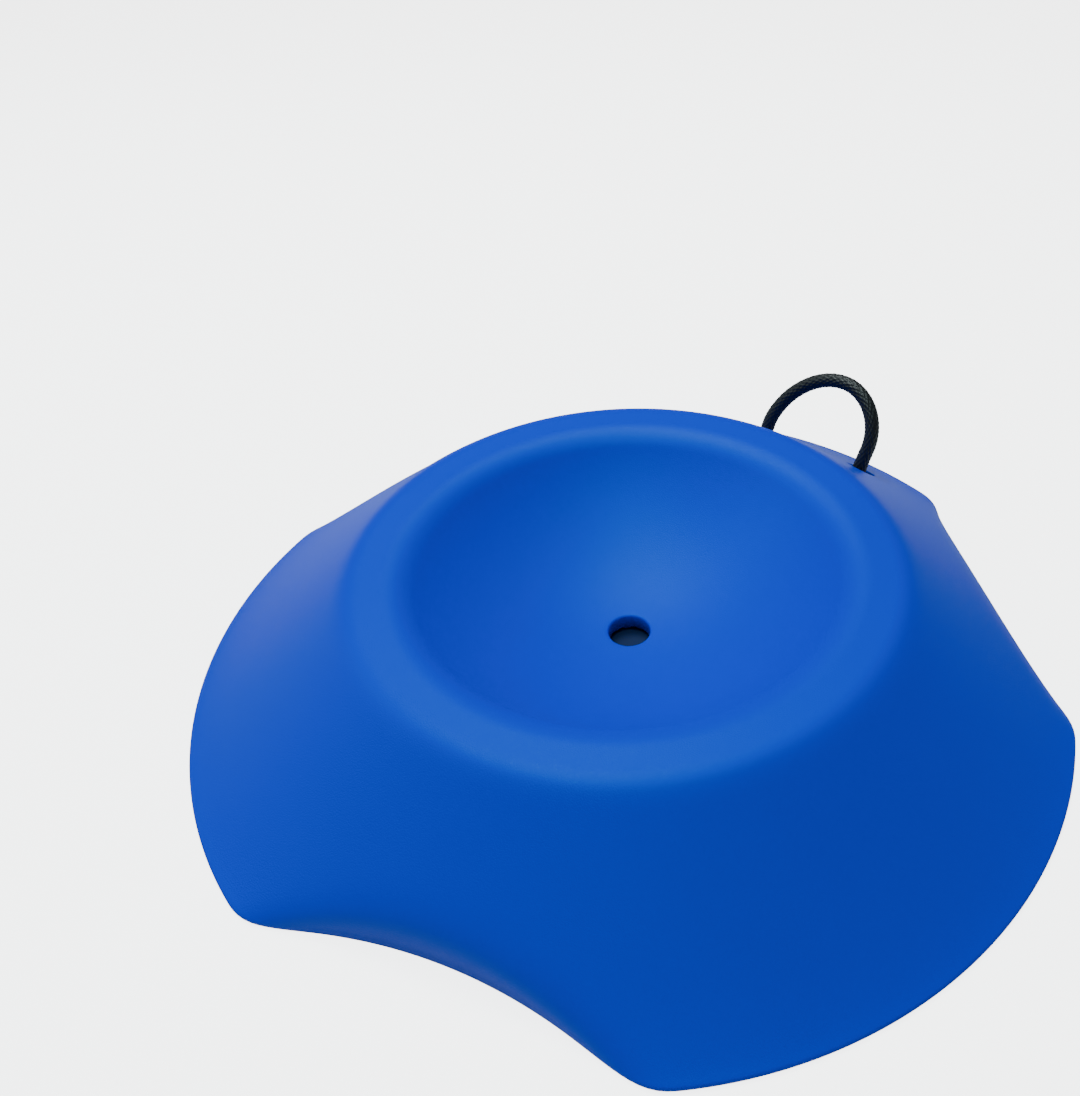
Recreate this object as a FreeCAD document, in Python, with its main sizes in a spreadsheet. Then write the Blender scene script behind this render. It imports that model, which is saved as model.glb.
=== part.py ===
"""Trailer-jack wheel dock with a rope handle, in millimetres.

A low moulded dome with three lobes and three bites holds a jack wheel in its dished
bowl. A short rope loop stands out of two holes in one lobe, held by a knot below each.
The frame has +Z up and its origin on the dock's axis at the ground. The rope's lobe
faces +Y.
"""

import FreeCAD, Part
import math
import os

import Sketcher

Vector = FreeCAD.Vector
UP = Vector(0, 0, 1)

DIMENSIONS = [
    # alias, value, what it is
    ("lobe_radius", 152.4, "axis to the outer edge of a lobe, half of twelve inches"),
    ("bite_distance", 293.7, "axis to the centre of a bite's circle"),
    ("bite_radius", 164.3, "radius of a bite's circle"),
    ("bite_blend", 14.0, "width over which a bite's wall melts into the flank"),
    ("bite_draft", 3.0, "draft of a bite's wall, degrees"),
    ("base_land", 1.5, "height of the upright edge at the ground"),
    ("flank_power", 0.87, "curve of the flank: 1 is straight, less is hollow"),
    ("shoulder_radius", 95.0, "axis to the top of the flank"),
    ("shoulder_height", 42.46, "ground to the top of the flank"),
    ("brow_radius", 81.5, "axis to the inner edge of the rim's level top"),
    ("crest_radius", 89.0, "axis to the outer edge of the rim's level top"),
    ("crest_height", 43.84, "ground to the rim's level top"),
    ("rim_outer_round", 13.0, "rounding of the rim outside its top"),
    ("rim_inner_round", 14.0, "rounding of the rim inside its top"),
    ("crest_sweep", 26.0, "how far the outer rounding turns, degrees"),
    ("floor_height", 7.4, "ground to the bottom of the bowl"),
    ("wall", 3.0, "moulding thickness"),
    ("flank_wall", 5.5, "moulding thickness of the sloped flank, measured level"),
    ("bite_wall", 4.5, "moulding thickness behind a bite at the ground"),
    ("drain_radius", 7.5, "radius of the bowl's drain hole"),
    ("hub_radius", 10.5, "outer radius of the ring round the drain hole"),
    ("hub_lift", 2.0, "gap left under that ring for water"),
    ("rib_width", 2.5, "thickness of the ribs below the bowl"),
    ("rib_start", 9.0, "axis to the inner end of a long rib, inside the hub's wall"),
    ("rib_count", 12, "ribs that reach from the hub to the skirt"),
    ("rib_bearing", -2.0, "direction of the first long rib, degrees: the knots hang between ribs"),
    ("ring_first", 38.0, "radius of the first ring of ribs"),
    ("ring_second", 64.0, "radius of the second ring of ribs"),
    ("ring_third", 88.0, "radius of the third ring of ribs"),
    ("ring_fourth", 112.0, "radius of the fourth ring of ribs"),
    ("rope_radius", 3.0, "radius of the rope"),
    ("rope_hole_radius", 6.0, "radius of a rope hole"),
    ("rope_hole_distance", 127.0, "axis to a rope hole"),
    ("rope_bearing", 73.0, "direction of the middle of the rope handle, degrees"),
    ("rope_half_angle", 10.57, "half the angle between the rope holes, degrees"),
    ("pivot_height", 22.0, "ground to the line about which the loop swings"),
    ("loop_lean", 25.0, "how far the loop leans outwards, degrees"),
    ("tail_gap", 0.5, "gap between the loop's end and the tail below it"),
    ("tail_lean", 20.0, "how far a tail leans inwards on its way down, degrees"),
    ("knot_radius", 6.5, "radius of a stopper knot"),
    ("knot_drop", 14.5, "how far a knot's centre lies down its tail from the pivot"),
]

# The rope loop's route, seen square on: across towards the right hole, up, and backwards.
LOOP_ROUTE = [
    (-23.3, 0.0, 0.0),
    (-21.0, 8.6, 0.3),
    (-16.4, 16.6, 0.7),
    (-9.2, 23.4, 1.0),
    (-0.4, 27.4, 0.9),
    (9.2, 27.6, 0.5),
    (17.4, 23.2, 0.0),
    (22.6, 16.0, -0.3),
    (24.4, 8.0, -0.3),
    (23.3, 0.0, 0.0),
]

SECTION_POINTS = 120
SECTION_STEPS = [0, 3, 6, 9, 12, 15, 18, 21, 24, 28, 34, 42, 50]
BITE_BEARINGS = [-90.0, 30.0, 150.0]
BELOW_GROUND = 1.0
ABOVE_CREST = 60.0

doc = FreeCAD.newDocument("wheel_dock")
sheet = doc.addObject("Spreadsheet::Sheet", "Sizes")


def fill_sheet():
    """Put every driving dimension in the sheet, each with its alias and a note."""
    for row, (alias, value, note) in enumerate(DIMENSIONS, start=1):
        sheet.set(f"A{row}", note)
        sheet.set(f"B{row}", str(value))
        sheet.setAlias(f"B{row}", alias)
    doc.recompute()


def size(alias):
    """One driving dimension, as a number."""
    return float(getattr(sheet, alias))


def polar(radius, bearing, height=0.0):
    """A point at a distance and a direction (degrees) from the dock's axis."""
    turn = math.radians(bearing)
    return Vector(radius * math.cos(turn), radius * math.sin(turn), height)


# ---- outline of the moulding ------------------------------------------------


def flank_radius(height):
    """Radius of the round flank: a cone that is slightly hollow, above an upright edge."""
    land = size("base_land")
    rise = max(height - land, 0) / (size("shoulder_height") - land)
    reach = size("lobe_radius") - size("shoulder_radius")
    return size("shoulder_radius") + reach * (1 - rise ** size("flank_power"))


def bite_reach(bearing, height):
    """Distance from the axis to the nearest bite's wall in one direction."""
    distance = size("bite_distance")
    radius = size("bite_radius") - height * math.tan(math.radians(size("bite_draft")))
    nearest = math.inf
    for centre in BITE_BEARINGS:
        off = math.radians((bearing - centre + 180) % 360 - 180)
        inside = radius**2 - (distance * math.sin(off)) ** 2
        if abs(off) < math.pi / 2 and inside > 0:
            nearest = min(nearest, distance * math.cos(off) - math.sqrt(inside))
    return nearest


def blended(first, second, width):
    """The smaller of two distances, with the corner between them rounded off."""
    share = max(width - abs(first - second), 0) / width
    return min(first, second) - share**3 * width / 6


def outline(height):
    """Closed smooth outline of the dome at one height."""
    flank = flank_radius(height)
    points = []
    for step in range(SECTION_POINTS):
        bearing = 360.0 * step / SECTION_POINTS
        radius = blended(flank, bite_reach(bearing, height), size("bite_blend"))
        points.append(polar(radius, bearing, height))
    curve = Part.BSplineCurve()
    curve.interpolate(Points=points, PeriodicFlag=True)
    return Part.Wire([curve.toShape()])


def section(name, wire):
    """A document object that holds one outline."""
    feature = doc.addObject("Part::Feature", name)
    feature.Shape = wire
    return feature


# ---- rim and bowl -----------------------------------------------------------


def bowl_sphere(inset):
    """Radius of the sphere that touches the bowl's floor and the rim's inner rounding."""
    inner = size("rim_inner_round") - inset
    drop = size("floor_height") - size("crest_height") + inner
    across = size("brow_radius")
    return (across**2 + drop**2 - inner**2) / (2 * (inner - drop))


def rim_profile(name, inset):
    """Sketch of all that lies above the rim and the bowl, or above their inner face."""
    floor = size("floor_height") - inset
    brow_x = size("brow_radius")
    crest_x = size("crest_radius")
    crest_z = size("crest_height") - inset
    inner = size("rim_inner_round") - inset
    outer = size("rim_outer_round") - inset
    sphere = bowl_sphere(inset)
    sphere_z = floor + sphere
    lean = math.atan2(brow_x, sphere_z - (crest_z - inner))
    sweep = math.radians(size("crest_sweep"))
    bowl_end = Vector(sphere * math.sin(lean), sphere_z - sphere * math.cos(lean), 0)
    round_end = Vector(crest_x + outer * math.sin(sweep), crest_z - outer + outer * math.cos(sweep), 0)
    far = Vector(size("lobe_radius"), 0, 0)
    far.y = round_end.y - (far.x - round_end.x) * math.tan(sweep)

    sketch = doc.addObject("Sketcher::SketchObject", name)
    sketch.Placement = FreeCAD.Placement(Vector(), FreeCAD.Rotation(Vector(1, 0, 0), 90))
    circle = Part.Circle(Vector(0, sphere_z, 0), Vector(0, 0, 1), sphere)
    bowl = sketch.addGeometry(Part.ArcOfCircle(circle, -math.pi / 2, lean - math.pi / 2))
    circle = Part.Circle(Vector(brow_x, crest_z - inner, 0), Vector(0, 0, 1), inner)
    inside = sketch.addGeometry(Part.ArcOfCircle(circle, math.pi / 2, lean + math.pi / 2))
    level = sketch.addGeometry(Part.LineSegment(Vector(brow_x, crest_z, 0), Vector(crest_x, crest_z, 0)))
    circle = Part.Circle(Vector(crest_x, crest_z - outer, 0), Vector(0, 0, 1), outer)
    outside = sketch.addGeometry(Part.ArcOfCircle(circle, math.pi / 2 - sweep, math.pi / 2))
    corners = [round_end, far, Vector(far.x, ABOVE_CREST, 0), Vector(0, ABOVE_CREST, 0), Vector(0, floor, 0)]
    lines = [sketch.addGeometry(Part.LineSegment(a, b)) for a, b in zip(corners, corners[1:])]
    slope, side, top, axis = lines

    start, end, centre = 1, 2, 3
    origin, up_axis = -1, -2
    sketch.addConstraint(Sketcher.Constraint("Tangent", bowl, end, inside, end))
    sketch.addConstraint(Sketcher.Constraint("Tangent", inside, start, level, start))
    sketch.addConstraint(Sketcher.Constraint("Tangent", level, end, outside, end))
    sketch.addConstraint(Sketcher.Constraint("Tangent", outside, start, slope, start))
    sketch.addConstraint(Sketcher.Constraint("Coincident", slope, end, side, start))
    sketch.addConstraint(Sketcher.Constraint("Coincident", side, end, top, start))
    sketch.addConstraint(Sketcher.Constraint("Coincident", top, end, axis, start))
    sketch.addConstraint(Sketcher.Constraint("Coincident", axis, end, bowl, start))
    sketch.addConstraint(Sketcher.Constraint("PointOnObject", bowl, centre, up_axis))
    sketch.addConstraint(Sketcher.Constraint("Vertical", side))
    sketch.addConstraint(Sketcher.Constraint("Horizontal", top))
    sketch.addConstraint(Sketcher.Constraint("Vertical", axis))
    sketch.addConstraint(Sketcher.Constraint("PointOnObject", bowl, start, up_axis))
    sketch.addConstraint(Sketcher.Constraint("Vertical", inside, centre, inside, start))

    lowered = f" - {sheet.Name}.wall" if inset else ""
    bound = [
        (Sketcher.Constraint("DistanceY", origin, 1, bowl, start, floor), f"{sheet.Name}.floor_height{lowered}"),
        (Sketcher.Constraint("DistanceY", origin, 1, inside, start, crest_z), f"{sheet.Name}.crest_height{lowered}"),
        (Sketcher.Constraint("DistanceX", origin, 1, level, start, brow_x), f"{sheet.Name}.brow_radius"),
        (Sketcher.Constraint("DistanceX", origin, 1, level, end, crest_x), f"{sheet.Name}.crest_radius"),
        (Sketcher.Constraint("Radius", inside, inner), f"{sheet.Name}.rim_inner_round{lowered}"),
        (Sketcher.Constraint("Radius", outside, outer), f"{sheet.Name}.rim_outer_round{lowered}"),
        (Sketcher.Constraint("DistanceX", origin, 1, side, start, far.x), f"{sheet.Name}.lobe_radius"),
    ]
    for constraint, expression in bound:
        index = sketch.addConstraint(constraint)
        sketch.setExpression(f"Constraints[{index}]", expression)
    return sketch


def spun(name, sketch):
    """The solid that a sketch sweeps in a full turn about the dock's axis."""
    feature = doc.addObject("Part::Revolution", name)
    feature.Source = sketch
    feature.Axis = UP
    feature.Base = Vector()
    feature.Angle = 360
    feature.Solid = True
    return feature


# ---- small helpers for primitives and booleans ------------------------------


def cylinder(name, radius, length, place=None):
    """A cylinder whose radius and height follow expressions on the sheet."""
    feature = doc.addObject("Part::Cylinder", name)
    feature.setExpression("Radius", radius)
    feature.setExpression("Height", length)
    feature.Placement = place or FreeCAD.Placement()
    return feature


def cut(name, base, tool):
    """Base with tool taken out of it."""
    feature = doc.addObject("Part::Cut", name)
    feature.Base = base
    feature.Tool = tool
    return feature


def fused(name, shapes):
    """Several shapes joined into one."""
    feature = doc.addObject("Part::MultiFuse", name)
    feature.Shapes = shapes
    return feature


def below(height):
    """A placement straight down the dock's axis."""
    return FreeCAD.Placement(Vector(0, 0, -height), FreeCAD.Rotation())


# ---- the moulding -----------------------------------------------------------


def outer_body():
    """The dome with its lobes, bites, upright base edge, rim and bowl."""
    base = section("BaseOutline", outline(0))
    edge = doc.addObject("Part::Extrusion", "BaseEdge")
    edge.Base = base
    edge.Dir = UP
    edge.setExpression("LengthFwd", f"{sheet.Name}.base_land * 1 mm")
    edge.Solid = True
    foot = section("DomeFoot", outline(0))
    foot.setExpression("Placement.Base.z", f"{sheet.Name}.base_land * 1 mm")
    higher = [section(f"DomeAt{step}", outline(size("base_land") + step)) for step in SECTION_STEPS[1:]]
    dome = doc.addObject("Part::Loft", "Dome")
    dome.Sections = [foot] + higher
    dome.Solid = True
    dome.Ruled = False
    body = fused("DomeOnEdge", [edge, dome])
    return cut("OuterBody", body, spun("AboveRim", rim_profile("RimProfile", 0)))


def rib(name, bearing, start):
    """One upright rib from a radius (an alias) out past the skirt."""
    feature = doc.addObject("Part::Box", name)
    feature.setExpression("Length", f"{sheet.Name}.lobe_radius - {sheet.Name}.{start}")
    feature.setExpression("Width", f"{sheet.Name}.rib_width")
    feature.Height = ABOVE_CREST
    turn = FreeCAD.Rotation(UP, bearing)
    corner = Vector(size(start), -size("rib_width") / 2, -BELOW_GROUND)
    feature.Placement = FreeCAD.Placement(turn.multVec(corner), turn)
    return feature


def ring(name, radius):
    """One round rib, centred on a radius (an alias)."""
    tall = f"{ABOVE_CREST}"
    half = f"{sheet.Name}.rib_width / 2"
    outer = cylinder(f"{name}Outside", f"{sheet.Name}.{radius} + {half}", tall, below(BELOW_GROUND))
    inner = cylinder(f"{name}Inside", f"{sheet.Name}.{radius} - {half}", tall, below(BELOW_GROUND))
    return cut(name, outer, inner)


def hub():
    """The ring round the drain hole, clear of the ground so that water can leave."""
    place = below(-size("hub_lift"))
    return cylinder("Hub", f"{sheet.Name}.hub_radius", f"{ABOVE_CREST}", place)


def ribs():
    """All that is left standing in the hollow: rings, radial ribs and the hub."""
    step = 360.0 / size("rib_count")
    count = int(size("rib_count"))
    first = size("rib_bearing")
    whole = [rib(f"LongRib{i}", first + i * step, "rib_start") for i in range(count)]
    short = [rib(f"ShortRib{i}", first + (i + 0.5) * step, "ring_fourth") for i in range(count)]
    rings = [ring(alias.title().replace("_", ""), alias) for alias in
             ("ring_first", "ring_second", "ring_third", "ring_fourth")]
    return fused("Ribs", whole + short + rings + [hub()])


def inner_cone():
    """The hollow's round side, parallel to the straight line up the flank."""
    cell = sheet.Name
    slope = f"({cell}.lobe_radius - {cell}.shoulder_radius) / {cell}.shoulder_height"
    foot = f"{cell}.lobe_radius - {cell}.flank_wall"
    feature = doc.addObject("Part::Cone", "InnerCone")
    feature.Height = ABOVE_CREST
    feature.setExpression("Radius1", f"{foot} + {BELOW_GROUND} * {slope}")
    feature.setExpression("Radius2", f"{foot} - ({ABOVE_CREST} - {BELOW_GROUND}) * {slope}")
    feature.Placement = below(BELOW_GROUND)
    return feature


def bite_blocks():
    """The three bites with the moulding's thickness added, as upright cylinders."""
    blocks = []
    for index, bearing in enumerate(BITE_BEARINGS):
        place = FreeCAD.Placement(polar(size("bite_distance"), bearing, -2 * BELOW_GROUND), FreeCAD.Rotation())
        radius = f"{sheet.Name}.bite_radius + {sheet.Name}.bite_wall"
        blocks.append(cylinder(f"BiteBlock{index}", radius, f"{ABOVE_CREST} * 2", place))
    return fused("BiteBlocks", blocks)


def hollow():
    """The space under the moulding, divided by the ribs."""
    inside = cut("InsideBites", inner_cone(), bite_blocks())
    room = cut("Room", inside, spun("AboveCeiling", rim_profile("CeilingProfile", size("wall"))))
    return cut("Cells", room, ribs())


def dock_shell():
    """The moulding: dome, hollow with ribs, drain hole and two rope holes."""
    tall = f"{ABOVE_CREST} * 2"
    drain = cylinder("Drain", f"{sheet.Name}.drain_radius", tall, below(ABOVE_CREST))
    holes = []
    for side, bearing in rope_bearings().items():
        place = FreeCAD.Placement(polar(size("rope_hole_distance"), bearing), FreeCAD.Rotation())
        holes.append(cylinder(f"RopeHole{side.title()}", f"{sheet.Name}.rope_hole_radius", tall, place))
    hollowed = cut("Hollowed", outer_body(), hollow())
    shell = cut("DockShell", hollowed, fused("Holes", [drain] + holes))
    shell.Label = "dock_shell"
    return shell


# ---- the rope ---------------------------------------------------------------


def rope_bearings():
    """Direction of each rope hole from the dock's axis, in degrees."""
    middle, half = size("rope_bearing"), size("rope_half_angle")
    return {"right": middle - half, "left": middle + half}


def pivot(side):
    """The point over a rope hole about which that end of the loop turns."""
    return polar(size("rope_hole_distance"), rope_bearings()[side], size("pivot_height"))


def loop_points():
    """The loop's route in the dock's frame."""
    right, left = pivot("right"), pivot("left")
    middle = (right + left) / 2
    across = (right - left).normalize()
    outward = polar(1, size("rope_bearing"))
    lean = math.radians(size("loop_lean"))
    rise = UP * math.cos(lean) + outward * math.sin(lean)
    back = outward * math.cos(lean) - UP * math.sin(lean)
    return [middle + across * u + rise * v + back * w for u, v, w in LOOP_ROUTE]


def rounded_path(points):
    """Straight runs joined by the largest tangent arcs that their lengths allow."""
    edges = []
    radii = []
    last = points[0]
    for before, corner, after in zip(points, points[1:], points[2:]):
        into = (corner - before).normalize()
        away = (after - corner).normalize()
        reach = 0.45 * min((corner - before).Length, (after - corner).Length)
        half_turn = into.getAngle(away) / 2
        radius = reach / math.tan(half_turn)
        radii.append(radius)
        start = corner - into * reach
        finish = corner + away * reach
        inward = (away - into).normalize()
        middle = corner + inward * (radius / math.cos(half_turn) - radius)
        edges.append(Part.LineSegment(last, start).toShape())
        edges.append(Part.Arc(start, middle, finish).toShape())
        last = finish
    edges.append(Part.LineSegment(last, points[-1]).toShape())
    return Part.Wire(edges), radii


def rope_loop():
    """The loop that is held in the hand, with a round end over each hole."""
    radius = size("rope_radius")
    points = loop_points()
    path, radii = rounded_path(points)
    first = (points[1] - points[0]).normalize()
    final = (points[-1] - points[-2]).normalize()
    circle = Part.Wire([Part.makeCircle(radius, points[0], first)])
    tube = path.makePipeShell([circle], True, False)
    expected = math.pi * radius**2 * path.Length
    print("loop radii", [round(r, 1) for r in radii])
    print("loop length", round(path.Length, 2), "volume", round(tube.Volume, 1), "expected", round(expected, 1))
    caps = [
        Part.makeSphere(radius, points[0], first.negative(), 0, 90, 360),
        Part.makeSphere(radius, points[-1], final, 0, 90, 360),
    ]
    feature = doc.addObject("Part::Feature", "RopeLoop")
    feature.Shape = tube.fuse(caps)
    feature.Label = "rope_loop"
    return feature


def tail_placement(side, distance):
    """A place down a tail from its pivot, with Z pointing back up the tail."""
    bearing = rope_bearings()[side]
    lean = math.radians(size("tail_lean"))
    upward = polar(math.sin(lean), bearing, math.cos(lean))
    turn = FreeCAD.Rotation(UP, upward)
    return FreeCAD.Placement(pivot(side) - upward * distance, turn)


def rope_tail(side):
    """The straight rope from just under the loop's end down to its knot."""
    top = size("rope_radius") + size("tail_gap")
    flat = math.sqrt(size("knot_radius") ** 2 - size("rope_radius") ** 2)
    bottom = size("knot_drop") - flat
    place = tail_placement(side, bottom)
    flat_text = f"sqrt({sheet.Name}.knot_radius ^ 2 - {sheet.Name}.rope_radius ^ 2)"
    length = f"{sheet.Name}.knot_drop - {flat_text} - {sheet.Name}.rope_radius - {sheet.Name}.tail_gap"
    feature = cylinder(f"RopeTail{side.title()}", f"{sheet.Name}.rope_radius", length, place)
    feature.Label = f"rope_tail_{side}"
    print(feature.Label, "length", round(bottom - top, 2))
    return feature


def knot(side):
    """A stopper knot under the wall, with a flat where the tail meets it."""
    feature = doc.addObject("Part::Sphere", f"Knot{side.title()}")
    feature.setExpression("Radius", f"{sheet.Name}.knot_radius")
    feature.Angle1 = -90
    flat = f"acos({sheet.Name}.rope_radius / {sheet.Name}.knot_radius)"
    feature.setExpression("Angle2", flat)
    feature.Placement = tail_placement(side, size("knot_drop"))
    feature.Label = f"knot_{side}"
    return feature


# ---- build and write --------------------------------------------------------


def check_and_write(pieces):
    """Stop on any failed object or bad solid, then write one file per piece."""
    doc.recompute()
    for item in doc.Objects:
        if any(state in item.State for state in ("Invalid", "Error")):
            raise RuntimeError(f"{item.Name} failed: {item.State}")
    for piece in pieces:
        shape = piece.Shape
        if shape.isNull() or not shape.isValid() or shape.Volume <= 0:
            raise RuntimeError(f"{piece.Label} is not a valid solid")
    os.makedirs("parts", exist_ok=True)
    for piece in pieces:
        shape = piece.Shape
        box = shape.BoundBox
        print(f"{piece.Label}: {len(shape.Solids)} solid, {len(shape.Faces)} faces, {shape.Volume:.0f} mm3,",
              f"z {box.ZMin:.2f} to {box.ZMax:.2f}")
        shape.exportStep(f"parts/{piece.Label}.step")


def main():
    """Build the moulding and the rope, then write them."""
    fill_sheet()
    pieces = [dock_shell(), rope_loop()]
    for side in ("right", "left"):
        pieces.append(rope_tail(side))
        pieces.append(knot(side))
    check_and_write(pieces)


main()
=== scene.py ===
"""Trailer-jack wheel dock with a rope handle, dressed for a studio view.

The moulding, its underside ribs, the braided rope and its two knots are worked out here as
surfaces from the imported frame's own sizes. Lengths in this file are metres.
"""

from __future__ import annotations

import logging
import math
from dataclasses import dataclass
from enum import Enum

import bmesh
import bpy
import numpy as np
from mathutils import Matrix, Vector


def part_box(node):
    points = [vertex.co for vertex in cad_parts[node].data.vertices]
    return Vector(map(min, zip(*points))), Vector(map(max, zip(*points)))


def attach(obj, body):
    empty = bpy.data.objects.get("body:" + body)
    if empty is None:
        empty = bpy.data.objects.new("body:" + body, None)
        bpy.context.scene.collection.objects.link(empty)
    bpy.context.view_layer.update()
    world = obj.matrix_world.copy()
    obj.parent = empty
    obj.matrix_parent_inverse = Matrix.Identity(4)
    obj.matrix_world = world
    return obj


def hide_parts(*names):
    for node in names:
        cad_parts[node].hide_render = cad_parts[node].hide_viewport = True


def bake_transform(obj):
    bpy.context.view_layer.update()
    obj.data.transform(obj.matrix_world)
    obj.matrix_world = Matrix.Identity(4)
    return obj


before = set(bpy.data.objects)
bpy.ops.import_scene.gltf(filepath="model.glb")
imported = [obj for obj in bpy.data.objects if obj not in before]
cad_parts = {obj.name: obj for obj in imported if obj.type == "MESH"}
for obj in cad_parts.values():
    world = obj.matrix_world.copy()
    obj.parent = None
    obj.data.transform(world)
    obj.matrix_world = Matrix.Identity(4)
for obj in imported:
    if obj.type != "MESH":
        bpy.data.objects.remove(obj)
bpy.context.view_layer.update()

LOG = logging.getLogger("wheel_dock")
MM = 0.001
FAR_AWAY = 9.0  # metres, past anything in the scene


class Body(str, Enum):
    """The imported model's bodies."""

    DOCK = "dock"
    HANDLE = "handle"


class Slot(str, Enum):
    """The record's material slots."""

    MOULDING = "moulding"
    ROPE = "rope"


# ---- surface helpers --------------------------------------------------------


def blended(first: np.ndarray, second: np.ndarray, width: float) -> np.ndarray:
    """The smaller of two values, with the corner between them rounded off.

    The rounding takes off width / 6 where both are equal, and its cube fades to nothing
    where they differ by width.

    Args:
        first: One set of values.
        second: The other set, of the same or a broadcastable shape.
        width: Difference over which the corner is rounded.

    Returns:
        The blended values.
    """
    share = np.clip(width - np.abs(first - second), 0, None) / width
    return np.minimum(first, second) - share**3 * width / 6


def grid_faces(rows: int, columns: int, close_rows: bool, close_columns: bool) -> np.ndarray:
    """Quads between neighbouring points of a grid.

    Args:
        rows: Number of rows.
        columns: Number of columns.
        close_rows: Whether the last row joins the first.
        close_columns: Whether the last column joins the first.

    Returns:
        An array of four point indices per quad.
    """
    index = np.arange(rows * columns).reshape(rows, columns)
    if close_rows:
        index = np.vstack([index, index[:1]])
    if close_columns:
        index = np.hstack([index, index[:, :1]])
    quads = [index[:-1, :-1], index[1:, :-1], index[1:, 1:], index[:-1, 1:]]
    return np.stack(quads, axis=-1).reshape(-1, 4)


def new_mesh_object(name: str, points: np.ndarray, faces: np.ndarray) -> bpy.types.Object:
    """A smooth-shaded mesh object at the origin.

    Args:
        name: The piece's name.
        points: Point positions, one row each.
        faces: Point indices, one row per face.

    Returns:
        The new object.
    """
    mesh = bpy.data.meshes.new(name)
    mesh.from_pydata(points.reshape(-1, 3).tolist(), [], faces.tolist())
    mesh.shade_smooth()
    piece = bpy.data.objects.new(name, mesh)
    bpy.context.scene.collection.objects.link(piece)
    return piece


def face_outwards(piece: bpy.types.Object) -> None:
    """Turn every face of a closed mesh outwards."""
    work = bmesh.new()
    work.from_mesh(piece.data)
    bmesh.ops.recalc_face_normals(work, faces=work.faces)
    work.to_mesh(piece.data)
    work.free()


# ---- form of the moulding ---------------------------------------------------


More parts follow.
